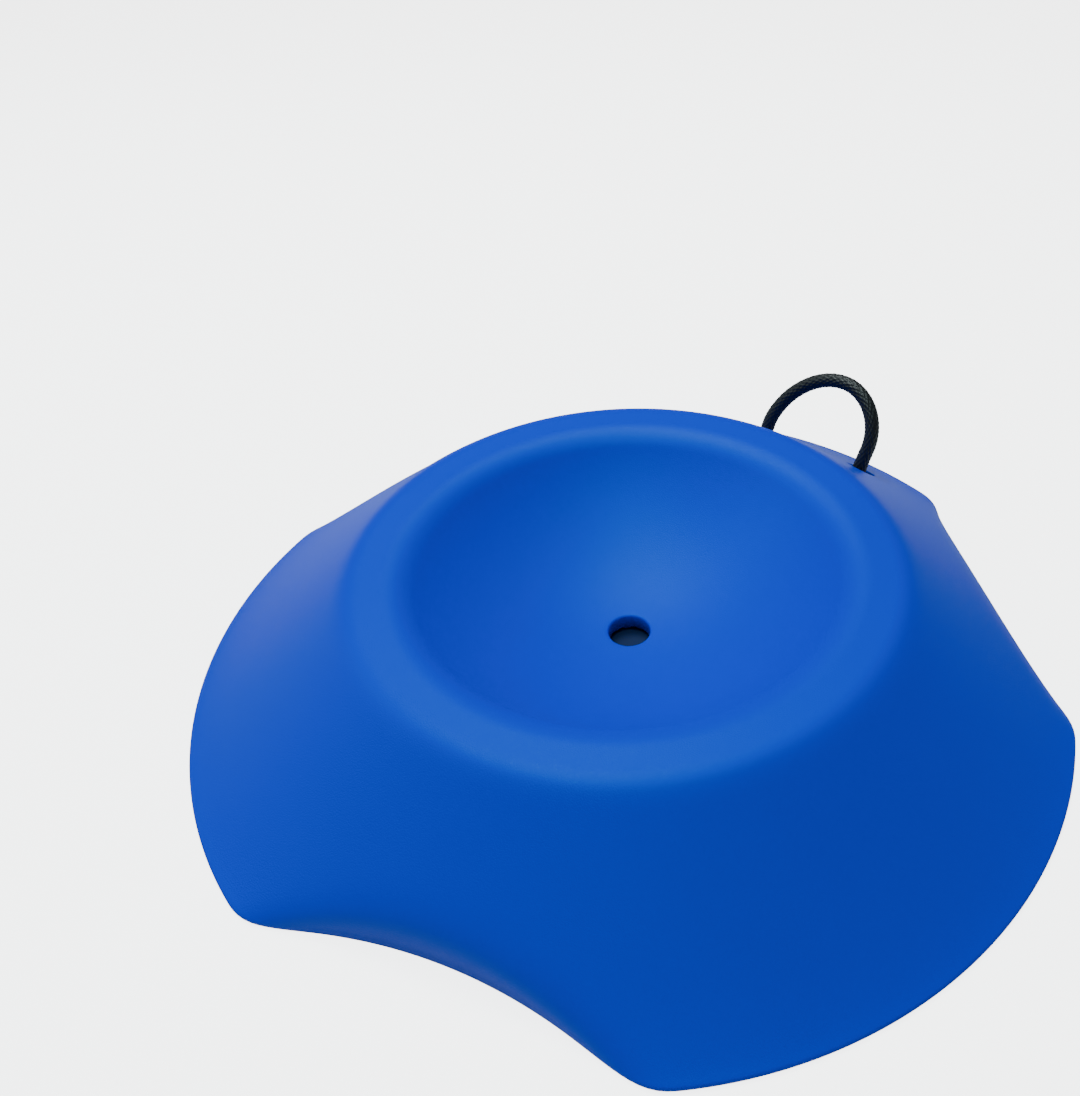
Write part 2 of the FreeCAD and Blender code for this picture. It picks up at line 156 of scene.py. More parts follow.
@dataclass(frozen=True)
class DockForm:
    """The moulding's outline and profile, as formulas in metres and radians.

    A blend is the difference in height or radius over which two surfaces run into each other.
    The bite bearings alone are in degrees. bite_half_angle is how far to each side of its
    bearing a bite is looked for.
    """

    lobe_radius: float
    crest_height: float
    bite_distance: float = 293.7 * MM
    bite_radius: float = 164.3 * MM
    bite_blend: float = 14.0 * MM
    bite_draft: float = math.radians(3.0)
    bite_wall: float = 4.5 * MM
    bite_half_angle: float = 1.2
    foot_blend: float = 1.2 * MM
    shoulder_blend: float = 1.6 * MM
    skirt_blend: float = 3.0 * MM
    base_land: float = 1.5 * MM
    flank_power: float = 0.87
    shoulder_radius: float = 95.0 * MM
    shoulder_height: float = 42.46 * MM
    brow_radius: float = 81.5 * MM
    crest_radius: float = 89.0 * MM
    rim_outer_round: float = 13.0 * MM
    rim_inner_round: float = 14.0 * MM
    crest_sweep: float = math.radians(26.0)
    floor_height: float = 7.4 * MM
    wall: float = 3.0 * MM
    flank_wall: float = 5.5 * MM
    bite_bearings: tuple[float, ...] = (-90.0, 30.0, 150.0)

    def flank_radius(self, height: np.ndarray) -> np.ndarray:
        """Radius of the round flank at a height: a slightly hollow cone over an upright edge."""
        rise = (height - self.base_land) / (self.shoulder_height - self.base_land)
        bowed = np.sign(rise) * np.abs(rise) ** self.flank_power
        cone = self.shoulder_radius + (self.lobe_radius - self.shoulder_radius) * (1 - bowed)
        return blended(cone, np.full_like(cone, self.lobe_radius), self.foot_blend)

    def flank_height(self, radius: np.ndarray) -> np.ndarray:
        """Height of the flank at a radius, the reverse of flank_radius above the edge."""
        share = (self.lobe_radius - radius) / (self.lobe_radius - self.shoulder_radius)
        rise = np.sign(share) * np.abs(share) ** (1 / self.flank_power)
        return self.base_land + rise * (self.shoulder_height - self.base_land)

    def bite_reach(self, bearing: np.ndarray, height: np.ndarray, inset: float = 0.0) -> np.ndarray:
        """Distance from the axis to the nearest bite's wall.

        For a circle of radius b at distance d, the ray at angle a to its centre meets it at
        d cos a - sqrt(b^2 - d^2 sin^2 a).

        Args:
            bearing: Directions in radians.
            height: Heights, broadcastable to bearing.
            inset: Extra radius of the bite's circle.

        Returns:
            Distances, very large where no bite is met.
        """
        radius = self.bite_radius + inset - height * math.tan(self.bite_draft)
        nearest = np.full(np.broadcast(bearing, radius).shape, FAR_AWAY)
        for centre in np.radians(self.bite_bearings):
            off = (bearing - centre + math.pi) % (2 * math.pi) - math.pi
            inside = radius**2 - (self.bite_distance * np.sin(off)) ** 2
            near = self.bite_distance * np.cos(off) - np.sqrt(np.clip(inside, 0, None))
            met = (np.abs(off) < self.bite_half_angle) & (inside > 0)
            nearest = np.where(met, np.minimum(nearest, near), nearest)
        return nearest

    def outline(self, bearing: np.ndarray, height: np.ndarray) -> np.ndarray:
        """Outer radius of the moulding by direction and height."""
        return blended(self.flank_radius(height), self.bite_reach(bearing, height), self.bite_blend)

    def hollow_slope(self) -> float:
        """How much the straight cone inside the flank narrows per unit of height."""
        return (self.lobe_radius - self.shoulder_radius) / self.shoulder_height

    def hollow_outline(self, bearing: np.ndarray, height: np.ndarray) -> np.ndarray:
        """Inner radius of the skirt by direction and height."""
        cone = self.lobe_radius - self.flank_wall - self.hollow_slope() * height
        bite = self.bite_reach(bearing, height * 0, self.bite_wall)
        return blended(cone, bite, self.skirt_blend)

    def hollow_cone_height(self, radius: np.ndarray) -> np.ndarray:
        """Height of the straight cone inside the flank at a radius."""
        return (self.lobe_radius - self.flank_wall - radius) / self.hollow_slope()

    def rim_height(self, radius: np.ndarray, inset: float = 0.0) -> np.ndarray:
        """Height of the bowl and rim at a radius: a sphere, a round, a level top, a round, a slope.

        Args:
            radius: Distances from the axis.
            inset: How far inside the material the surface lies.

        Returns:
            Heights above the ground.
        """
        inner = self.rim_inner_round - inset
        outer = self.rim_outer_round - inset
        crest = self.crest_height - inset
        floor = self.floor_height - inset
        brow = self.brow_radius
        drop = floor - crest + inner
        sphere = (brow**2 + drop**2 - inner**2) / (2 * (inner - drop))
        lean = math.atan2(brow, floor + sphere - (crest - inner))
        bowl_edge = sphere * math.sin(lean)
        slope_start = self.crest_radius + outer * math.sin(self.crest_sweep)
        bowl = floor + sphere - np.sqrt(np.clip(sphere**2 - radius**2, 0, None))
        inside = crest - inner + np.sqrt(np.clip(inner**2 - (brow - radius) ** 2, 0, None))
        level = np.full_like(radius, crest)
        past_crest = radius - self.crest_radius
        outside = crest - outer + np.sqrt(np.clip(outer**2 - past_crest**2, 0, None))
        edge_height = crest - outer + outer * math.cos(self.crest_sweep)
        slope = edge_height - (radius - slope_start) * math.tan(self.crest_sweep)
        places = [radius < bowl_edge, radius < brow, radius < self.crest_radius, radius < slope_start]
        return np.select(places, [bowl, inside, level, outside], slope)

    def top_height(self, radius: np.ndarray) -> np.ndarray:
        """Height of the outer skin at a radius, clear of the bites."""
        return blended(self.flank_height(radius), self.rim_height(radius), self.shoulder_blend)

    def ceiling_height(self, radius: np.ndarray) -> np.ndarray:
        """Height of the hollow's ceiling at a radius, clear of the bites."""
        cone = self.hollow_cone_height(radius)
        return blended(cone, self.rim_height(radius, self.wall), self.shoulder_blend)


@dataclass(frozen=True)
class RopePlace:
    """Where the rope passes the moulding, and how its loop stands."""

    hole_distance: float = 127.0 * MM
    bearing: float = math.radians(73.0)
    half_angle: float = math.radians(10.57)
    pivot_height: float = 22.0 * MM
    loop_lean: float = math.radians(25.0)
    tail_lean: float = math.radians(20.0)
    hole_radius: float = 6.0 * MM
    rope_radius: float = 3.0 * MM
    knot_radius: float = 6.5 * MM
    knot_drop: float = 14.5 * MM

    def hole_bearings(self) -> tuple[float, float]:
        """Directions of the left and the right hole."""
        return self.bearing + self.half_angle, self.bearing - self.half_angle

    def pivot(self, bearing: float) -> np.ndarray:
        """The point over a hole about which the loop swings."""
        reach = self.hole_distance
        return np.array([reach * math.cos(bearing), reach * math.sin(bearing), self.pivot_height])

    def tail_direction(self, bearing: float) -> np.ndarray:
        """The direction down a tail, leaning back to the axis."""
        flat = math.sin(self.tail_lean)
        return -np.array([flat * math.cos(bearing), flat * math.sin(bearing), math.cos(self.tail_lean)])


# ---- finishes ---------------------------------------------------------------


def grain_group() -> bpy.types.NodeTree:
    """A shared fine grain: a mask of soft specks and a height for bump, from Object coordinates."""
    name = "FineGrain"
    if name in bpy.data.node_groups:
        return bpy.data.node_groups[name]
    tree = bpy.data.node_groups.new(name, "ShaderNodeTree")
    link = tree.links.new
    face = tree.interface
    face.new_socket("Scale", in_out="INPUT", socket_type="NodeSocketFloat")
    face.new_socket("Speck Scale", in_out="INPUT", socket_type="NodeSocketFloat")
    face.new_socket("Height", in_out="OUTPUT", socket_type="NodeSocketFloat")
    face.new_socket("Specks", in_out="OUTPUT", socket_type="NodeSocketFloat")
    face.new_socket("Cloud", in_out="OUTPUT", socket_type="NodeSocketFloat")
    entry = tree.nodes.new("NodeGroupInput")
    leave = tree.nodes.new("NodeGroupOutput")
    place = tree.nodes.new("ShaderNodeTexCoord")
    fine = tree.nodes.new("ShaderNodeTexNoise")
    fine.inputs["Detail"].default_value = 3.0
    fine.inputs["Roughness"].default_value = 0.6
    specks = tree.nodes.new("ShaderNodeTexVoronoi")
    specks.feature = "F1"
    ramp = tree.nodes.new("ShaderNodeMapRange")
    ramp.inputs["From Min"].default_value = 0.28
    ramp.inputs["From Max"].default_value = 0.08
    cloud = tree.nodes.new("ShaderNodeTexNoise")
    cloud.inputs["Scale"].default_value = 9.0
    cloud.inputs["Detail"].default_value = 3.0
    link(place.outputs["Object"], fine.inputs["Vector"])
    link(place.outputs["Object"], specks.inputs["Vector"])
    link(place.outputs["Object"], cloud.inputs["Vector"])
    link(entry.outputs["Scale"], fine.inputs["Scale"])
    link(entry.outputs["Speck Scale"], specks.inputs["Scale"])
    link(specks.outputs["Distance"], ramp.inputs["Value"])
    link(fine.outputs["Fac"], leave.inputs["Height"])
    link(ramp.outputs["Result"], leave.inputs["Specks"])
    link(cloud.outputs["Fac"], leave.inputs["Cloud"])
    return tree


def start_material(name: str) -> tuple[bpy.types.Material, bpy.types.NodeTree, bpy.types.Node]:
    """A node material with its Principled shader."""
    material = bpy.data.materials.new(name)
    material.use_nodes = True
    return material, material.node_tree, material.node_tree.nodes["Principled BSDF"]


def add_grain(tree: bpy.types.NodeTree, scale: float, speck_scale: float) -> bpy.types.Node:
    """The shared grain group, placed in a material with its own values."""
    node = tree.nodes.new("ShaderNodeGroup")
    node.node_tree = grain_group()
    node.inputs["Scale"].default_value = scale
    node.inputs["Speck Scale"].default_value = speck_scale
    return node


def add_bump(tree: bpy.types.NodeTree, shader: bpy.types.Node, height: bpy.types.NodeSocket,
             strength: float, distance: float) -> None:
    """Feed a height through a Bump node to the shader's Normal."""
    bump = tree.nodes.new("ShaderNodeBump")
    bump.inputs["Strength"].default_value = strength
    bump.inputs["Distance"].default_value = distance
    tree.links.new(height, bump.inputs["Height"])
    tree.links.new(bump.outputs["Normal"], shader.inputs["Normal"])


def mixed_colour(tree: bpy.types.NodeTree, mask: bpy.types.NodeSocket, low: tuple[float, ...],
                 high: tuple[float, ...]) -> bpy.types.NodeSocket:
    """A colour that runs from low to high as a mask runs from 0 to 1."""
    mix = tree.nodes.new("ShaderNodeMix")
    mix.data_type = "RGBA"
    mix.inputs["A"].default_value = (*low, 1.0)
    mix.inputs["B"].default_value = (*high, 1.0)
    tree.links.new(mask, mix.inputs["Factor"])
    return next(s for s in mix.outputs if s.type == "RGBA")


def ranged(tree: bpy.types.NodeTree, value: bpy.types.NodeSocket, low: float,
           high: float) -> bpy.types.NodeSocket:
    """A value from 0 to 1, spread from low to high."""
    node = tree.nodes.new("ShaderNodeMapRange")
    node.inputs["To Min"].default_value = low
    node.inputs["To Max"].default_value = high
    tree.links.new(value, node.inputs["Value"])
    return node.outputs["Result"]


@dataclass(frozen=True)
class MouldedPlastic:
    """Blue structural plastic with a fine, slightly glittering mould grain."""

    name: str = "blue_moulding"
    deep: tuple[float, float, float] = (0.0, 0.029, 0.620)
    light: tuple[float, float, float] = (0.0, 0.035, 0.690)
    gloss_tint: tuple[float, float, float] = (0.10, 0.75, 1.0)
    grain_scale: float = 2300.0
    speck_scale: float = 1100.0
    roughness: tuple[float, float] = (0.40, 0.52)
    glint: float = 0.55
    gloss: float = 0.30
    bump: tuple[float, float] = (0.6, 0.00015)

    def make(self) -> bpy.types.Material:
        """Build the material."""
        material, tree, shader = start_material(self.name)
        grain = add_grain(tree, self.grain_scale, self.speck_scale)
        colour = mixed_colour(tree, grain.outputs["Cloud"], self.deep, self.light)
        tree.links.new(colour, shader.inputs["Base Color"])
        matt = ranged(tree, grain.outputs["Height"], *self.roughness)
        glints = ranged(tree, grain.outputs["Specks"], 1.0, self.glint)
        product = tree.nodes.new("ShaderNodeMath")
        product.operation = "MULTIPLY"
        tree.links.new(matt, product.inputs[0])
        tree.links.new(glints, product.inputs[1])
        tree.links.new(product.outputs["Value"], shader.inputs["Roughness"])
        shader.inputs["Specular IOR Level"].default_value = self.gloss
        shader.inputs["Specular Tint"].default_value = (*self.gloss_tint, 1.0)
        add_bump(tree, shader, grain.outputs["Height"], *self.bump)
        return material


@dataclass(frozen=True)
class BraidedCord:
    """Black polyester braid, a little fuzzy."""

    name: str = "black_braid"
    deep: tuple[float, float, float] = (0.0015, 0.0015, 0.002)
    light: tuple[float, float, float] = (0.009, 0.010, 0.012)
    yarn_scale: float = 3200.0
    roughness: float = 0.46
    sheen: float = 0.06
    sheen_roughness: float = 0.4
    bump: tuple[float, float] = (0.4, 0.0001)

    def make(self) -> bpy.types.Material:
        """Build the material."""
        material, tree, shader = start_material(self.name)
        grain = add_grain(tree, self.yarn_scale, self.yarn_scale)
        colour = mixed_colour(tree, grain.outputs["Height"], self.deep, self.light)
        tree.links.new(colour, shader.inputs["Base Color"])
        shader.inputs["Roughness"].default_value = self.roughness
        shader.inputs["Sheen Weight"].default_value = self.sheen
        shader.inputs["Sheen Roughness"].default_value = self.sheen_roughness
        add_bump(tree, shader, grain.outputs["Height"], *self.bump)
        return material


@dataclass(frozen=True)
class StudioFloor:
    """The pale floor. It glows for the camera only, so that it lights nothing."""

    name: str = "pale_floor"
    deep: tuple[float, float, float] = (0.86, 0.86, 0.865)
    light: tuple[float, float, float] = (0.88, 0.88, 0.88)
    grain_scale: float = 400.0
    speck_scale: float = 300.0
    roughness: float = 0.85
    glow: float = 4.0

    def make(self) -> bpy.types.Material:
        """Build the material."""
        material, tree, shader = start_material(self.name)
        grain = add_grain(tree, self.grain_scale, self.speck_scale)
        colour = mixed_colour(tree, grain.outputs["Cloud"], self.deep, self.light)
        tree.links.new(colour, shader.inputs["Base Color"])
        shader.inputs["Roughness"].default_value = self.roughness
        shader.inputs["Emission Color"].default_value = (1.0, 1.0, 1.0, 1.0)
        seen = tree.nodes.new("ShaderNodeLightPath")
        strength = ranged(tree, seen.outputs["Is Camera Ray"], 0.0, self.glow)
        tree.links.new(strength, shader.inputs["Emission Strength"])
        return material


# ---- the moulding -----------------------------------------------------------


@dataclass
class Moulding:
    """The dome with its bowl, bites, drain hole, rope holes and ribs.

    Attributes:
        form: The moulding's formulas.
        rope: Where its rope holes are.
        columns: Steps round the axis.
        edge_round: Rounding of the base edge.
        low_height: Height up to which the outside has closely spaced rows.
        switch_height: Height at which the outside's rows change from even heights to even radii.
        bowl_start: Radius at which the rows of the rim give way to those of the bowl.
        ceiling_reach: Radius at which the ceiling's rows give way to those of the skirt.
        lip_round: Rounding of the drain hole's and the rope holes' mouths.
        drain_radius: The drain hole.
        hub_radius: Outside of the ring round the drain hole.
        hub_lift: Gap under that ring.
        hub_round: Bevel of that ring's lower edges.
        gap_margin: Skin left out round a rope hole, for the hole's wall to be joined to.
        gap_floor: Height below which no skin is left out.
        gap_search: Distance from a rope hole within which open edges belong to it.
        rib_width: Thickness of a rib.
        rib_sink: How far a rib runs into the ceiling.
        rib_lift: Gap under the upright ribs. The round ribs stand twice as far off the ground.
        rib_least: Height of a rib's top edge past the skirt's inside.
        rib_bite: How far an upright rib runs into the skirt.
        rib_past: How far past the skirt's inside a rib's full height goes.
        rib_root: How far an upright rib runs into the hub.
        rib_count: Long ribs.
        rib_bearing: Direction of the first long rib.
        ring_radii: Middle lines of the round ribs.
    """

    form: DockForm
    rope: RopePlace
    columns: int = 420
    edge_round: float = 0.7 * MM
    low_height: float = 3.5 * MM
    switch_height: float = 34.0 * MM
    bowl_start: float = 68.0 * MM
    ceiling_reach: float = 101.0 * MM
    lip_round: float = 0.8 * MM
    drain_radius: float = 7.5 * MM
    hub_radius: float = 10.5 * MM
    hub_lift: float = 2.0 * MM
    hub_round: float = 0.4 * MM
    gap_margin: float = 2.2 * MM
    gap_floor: float = 4.0 * MM
    gap_search: float = 20.0 * MM
    rib_width: float = 2.5 * MM
    rib_sink: float = 0.6 * MM
    rib_lift: float = 0.06 * MM
    rib_least: float = 0.4 * MM
    rib_bite: float = 0.8 * MM
    rib_past: float = 1.0 * MM
    rib_root: float = 1.5 * MM
    rib_count: int = 12
    rib_bearing: float = math.radians(-2.0)
    ring_radii: tuple[float, ...] = (38.0 * MM, 64.0 * MM, 88.0 * MM, 112.0 * MM)

    def skin_rows(self) -> tuple[np.ndarray, np.ndarray]:
        """The skin's closed cross-section in every direction.

        It climbs the outside from the ground over the rim into the bowl, goes down the
        drain hole, and comes back under the ceiling to the ground.

        Returns:
            Radii and heights, a row per step along the section and a column per direction.
        """
        form = self.form
        bearing = np.linspace(0, 2 * math.pi, self.columns, endpoint=False)[None, :]
        turn = np.linspace(0, math.pi / 2, 5)[:, None]
        foot = form.outline(bearing, np.full((1, 1), self.edge_round))
        edge = foot - self.edge_round * (1 - np.sin(turn))
        edge_height = self.edge_round * (1 - np.cos(turn)) + 0 * bearing

        low = np.linspace(self.edge_round, self.low_height, 9)[1:]
        high = np.linspace(self.low_height, self.switch_height, 38)[1:]
        climb = np.concatenate([low, high])[:, None]
        side = form.outline(bearing, climb)

        start = float(form.flank_radius(np.array([self.switch_height]))[0])
        mouth = self.drain_radius + self.lip_round
        over_rim = np.linspace(start, self.bowl_start, 52)[1:]
        down_bowl = np.linspace(self.bowl_start, mouth, 40)[1:]
        across = np.concatenate([over_rim, down_bowl])[:, None]
        top = form.top_height(across)

        lip = mouth - self.lip_round * np.sin(turn[1:])
        lip_height = form.rim_height(lip) - self.lip_round * (1 - np.cos(turn[1:]))
        hub = np.array([
            [self.drain_radius, self.hub_lift + self.hub_round],
            [self.drain_radius + self.hub_round, self.hub_lift],
            [self.hub_radius - self.hub_round, self.hub_lift],
            [self.hub_radius, self.hub_lift + self.hub_round],
        ])
        inner = np.linspace(self.hub_radius, self.ceiling_reach, 36)[:, None]
        ceiling = form.ceiling_height(inner)
        fall = np.linspace(float(ceiling[-1, 0]), 0, 22)[1:, None]
        inside = form.hollow_outline(bearing, fall)

        spread = np.ones_like(bearing)
        radii = [edge, side, across * spread, lip * spread, hub[:, :1] * spread, inner * spread, inside]
        heights = [edge_height, climb * spread, top * spread, lip_height * spread, hub[:, 1:] * spread,
                   ceiling * spread, fall * spread]
        return np.vstack(radii), np.vstack(heights)

    def hole_ring(self, bearing: float, radius: float, steps: int = 56) -> tuple[np.ndarray, np.ndarray]:
        """Points of a level circle about a rope hole's axis, and their distances from the dock's axis."""
        turn = np.linspace(0, 2 * math.pi, steps, endpoint=False)
        reach = self.rope.hole_distance
        spots = np.stack([reach * math.cos(bearing) + radius * np.cos(turn),
                          reach * math.sin(bearing) + radius * np.sin(turn)], axis=-1)
        return spots, np.hypot(spots[:, 0], spots[:, 1])

    def hole_wall(self, bearing: float) -> np.ndarray:
        """A rope hole's wall: rings from its rounded upper mouth down to the ceiling.

        The mouth's rounding lies on the sloped skin: each ring drops below the skin by
        c (1 - cos t) while its radius shrinks by c sin t.

        Args:
            bearing: The hole's direction.

        Returns:
            Rings of points, the outermost first.
        """
        rings = []
        for turn in np.linspace(0, math.pi / 2, 6):
            radius = self.rope.hole_radius + self.lip_round * (1 - math.sin(turn))
            spots, reach = self.hole_ring(bearing, radius)
            height = self.form.flank_height(reach) - self.lip_round * (1 - math.cos(turn))
            rings.append(np.column_stack([spots, height]))
        spots, reach = self.hole_ring(bearing, self.rope.hole_radius)
        low = self.form.hollow_cone_height(reach)
        rings.append(np.column_stack([spots, (rings[-1][:, 2] + low) / 2]))
        rings.append(np.column_stack([spots, low]))
        return np.stack(rings)

    def skin(self) -> bpy.types.Object:
        """The moulding's skin as one closed mesh with its two rope holes opened."""
        radii, heights = self.skin_rows()
        bearing = np.linspace(0, 2 * math.pi, self.columns, endpoint=False)[None, :]
        points = np.stack([radii * np.cos(bearing), radii * np.sin(bearing), heights], axis=-1)
        rows = points.shape[0]
        faces = grid_faces(rows, self.columns, True, True)
        flat = points.reshape(-1, 3)
        keep = np.ones(len(faces), bool)
        reach = self.rope.hole_distance
        for hole in self.rope.hole_bearings():
            centre = np.array([reach * math.cos(hole), reach * math.sin(hole)])
            near = np.hypot(*(flat[:, :2] - centre).T) < self.rope.hole_radius + self.gap_margin
            near &= flat[:, 2] > self.gap_floor
            keep &= ~near[faces].any(axis=1)
        piece = new_mesh_object("dock_skin", points, faces[keep])
        self.open_holes(piece)
        face_outwards(piece)
        return piece

    def open_holes(self, piece: bpy.types.Object) -> None:
        """Join each rope hole's wall to the gaps left for it in the outer and inner skin."""
        work = bmesh.new()
        work.from_mesh(piece.data)
        for hole in self.rope.hole_bearings():
            rings = self.hole_wall(hole)
            gaps = self.open_loops(work, hole)
            upper, lower = self.add_wall(work, rings)
            bmesh.ops.bridge_loops(work, edges=gaps[0] + upper)
            bmesh.ops.bridge_loops(work, edges=gaps[1] + lower)
        loose = [vert for vert in work.verts if not vert.link_faces]
        bmesh.ops.delete(work, geom=loose, context="VERTS")
        for polygon in work.faces:
            polygon.smooth = True
        work.to_mesh(piece.data)
        work.free()

    def open_loops(self, work: bmesh.types.BMesh, bearing: float) -> list[list[bmesh.types.BMEdge]]:
        """The open edges round one rope hole, the upper loop first."""
        centre = Vector(self.rope.pivot(bearing).tolist()).xy
        edges = [edge for edge in work.edges if len(edge.link_faces) == 1
                 and (edge.verts[0].co.xy - centre).length < self.gap_search]
        loops = []
        left = set(edges)
        while left:
            group = []
            ahead = [left.pop()]
            while ahead:
                edge = ahead.pop()
                group.append(edge)
                beside = {e for vert in edge.verts for e in vert.link_edges if e in left}
                left -= beside
                ahead.extend(beside)
            loops.append(group)
        return sorted(loops, key=lambda group: -max(edge.verts[0].co.z for edge in group))

    @staticmethod
    def add_wall(work: bmesh.types.BMesh, rings: np.ndarray) -> tuple[list, list]:
        """Add a hole's wall, and return the edges of its first and last ring."""
        count, steps = rings.shape[:2]
        verts = [work.verts.new(co) for co in rings.reshape(-1, 3)]
        made = [work.faces.new([verts[i] for i in quad]) for quad in grid_faces(count, steps, False, True)]
        first = set(verts[:steps])
        last = set(verts[-steps:])
        edges = {edge for polygon in made for edge in polygon.edges}
        upper = [edge for edge in edges if set(edge.verts) <= first]
        lower = [edge for edge in edges if set(edge.verts) <= last]
        return upper, lower

    def rib_top(self, along: np.ndarray, bearing: float) -> np.ndarray:
        """Height of an upright rib's top edge along its length.

        Args:
            along: Distances from the axis.
            bearing: The rib's direction.

        Returns:
            Heights a little way into the ceiling, or next to nothing past the skirt's inside.
        """
        turn = np.full_like(along, bearing)
        edge = self.form.hollow_outline(turn, np.zeros_like(along))
        bite = self.form.bite_reach(turn, np.zeros_like(along), self.form.bite_wall)
        top = self.form.ceiling_height(along) + self.rib_sink
        within = along < np.minimum(edge, bite) + self.rib_past
        return np.where(within, np.maximum(top, self.rib_least), self.rib_least)

    def radial_rib(self, bearing: float, start: float) -> tuple[np.ndarray, np.ndarray]:
        """One upright rib from a radius out to the skirt.

        Args:
            bearing: Its direction.
            start: Radius of its inner end.

        Returns:
            Points and faces of a closed plate.
        """
        turn = np.array([bearing])
        end = float(self.form.hollow_outline(turn, np.zeros(1))[0]) + self.rib_bite
        along = np.linspace(start, end, 40)
        top = self.rib_top(along, bearing)
        foot = np.full_like(top, self.rib_lift)
        half = self.rib_width / 2
        corners = [(-half, foot), (half, foot), (half, top), (-half, top)]
        rows = [np.stack([along * math.cos(bearing) - side * math.sin(bearing),
                          along * math.sin(bearing) + side * math.cos(bearing), height], axis=-1)
                for side, height in corners]
        points = np.stack(rows)
        faces = grid_faces(4, len(along), True, False)
        inner_end = np.arange(4) * len(along)
        outer_end = inner_end + len(along) - 1
        return points.reshape(-1, 3), np.vstack([faces, inner_end, outer_end])

    def round_rib(self, radius: float) -> tuple[np.ndarray, np.ndarray]:
        """One round rib: a closed cross-section carried round the axis."""
        half = self.rib_width / 2
        reach = np.array([radius - half, radius + half, radius + half, radius, radius - half])
        height = self.form.ceiling_height(reach) + self.rib_sink
        height[:2] = 2 * self.rib_lift
        bearing = np.linspace(0, 2 * math.pi, 240, endpoint=False)[None, :]
        points = np.stack([reach[:, None] * np.cos(bearing), reach[:, None] * np.sin(bearing),
                           height[:, None] + 0 * bearing], axis=-1)
        return points.reshape(-1, 3), grid_faces(len(reach), bearing.shape[1], True, True)

    def ribs(self) -> bpy.types.Object:
        """Every rib under the bowl, as one piece."""
        step = 2 * math.pi / self.rib_count
        inner, outer = self.hub_radius - self.rib_root, self.ring_radii[-1]
        bearings = [self.rib_bearing + i * step for i in range(self.rib_count)]
        parts = [self.radial_rib(bearing, inner) for bearing in bearings]
        parts += [self.radial_rib(bearing + step / 2, outer) for bearing in bearings]
        parts += [self.round_rib(radius) for radius in self.ring_radii]
        offset = 0
        points, faces = [], []
        for part_points, part_faces in parts:
            points.append(part_points)
            faces.append(part_faces + offset)
            offset += len(part_points)
        piece = new_mesh_object("dock_ribs", np.vstack(points), np.vstack(faces))
        piece.data.shade_flat()
        face_outwards(piece)
        return piece

    def build(self) -> list[bpy.types.Object]:
        """Build and dress the moulding."""
        finish = MouldedPlastic().make()
        made = [self.skin(), self.ribs()]
        for piece in made:
            piece.data.materials.append(finish)
            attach(piece, Body.DOCK.value)
            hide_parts("dock_shell")
        return made


# ---- the rope ---------------------------------------------------------------


